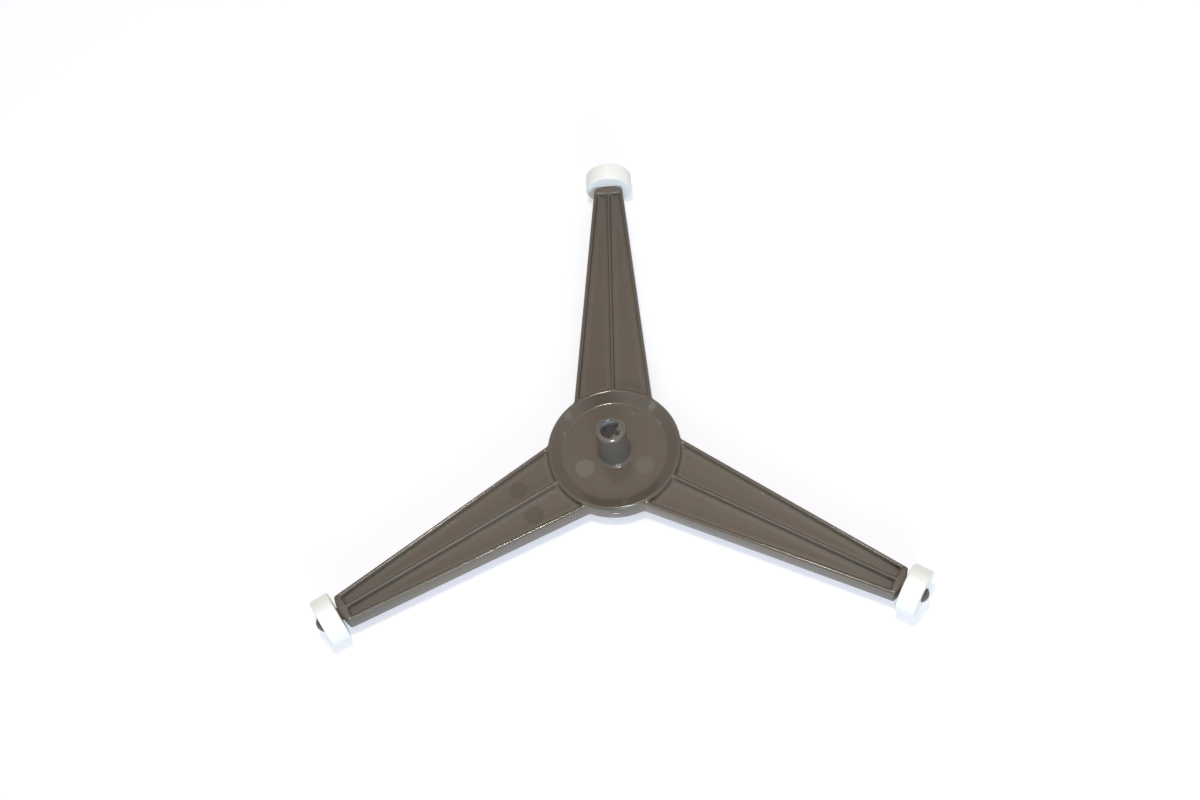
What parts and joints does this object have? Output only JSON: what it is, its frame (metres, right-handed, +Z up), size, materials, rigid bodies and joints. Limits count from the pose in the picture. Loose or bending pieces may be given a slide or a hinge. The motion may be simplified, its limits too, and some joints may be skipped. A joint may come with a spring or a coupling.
{
  "type": "microwave turntable roller spider",
  "caption": "Ribbed moulded spider whose tapering arms carry free rollers, with a tall D-socket drive boss on a dished hub, for turning a microwave oven's glass plate.",
  "frame": {"origin": "centre of the drive socket's floor, on the hub's axis and level with the floor of the dish", "axes": "+Z up the drive boss, which points up as the part lies on its rollers; +X along the arm that the socket's flat faces"},
  "size_m": [0.1878, 0.2146, 0.0276],
  "materials": {
    "spider_plastic": "satin moulded",
    "roller_plastic": "smooth moulded"
  },
  "bodies": {
    "spider": {"spider": "spider_plastic"},
    "roller_1": {"roller_1": "roller_plastic"},
    "roller_2": {"roller_2": "roller_plastic"},
    "roller_3": {"roller_3": "roller_plastic"}
  },
  "joints": [
    {"name": "roller_1_spin", "type": "hinge", "parent": "spider", "child": "roller_1", "pos_m": [0.11565, 0, -0.0012], "axis": [1, 0, 0], "continuous": true},
    {"name": "roller_2_spin", "type": "hinge", "parent": "spider", "child": "roller_2", "pos_m": [-0.05783, 0.10016, -0.0012], "axis": [-0.5, 0.866, 0], "continuous": true},
    {"name": "roller_3_spin", "type": "hinge", "parent": "spider", "child": "roller_3", "pos_m": [-0.05783, -0.10016, -0.0012], "axis": [-0.5, -0.866, 0], "continuous": true}
  ]
}
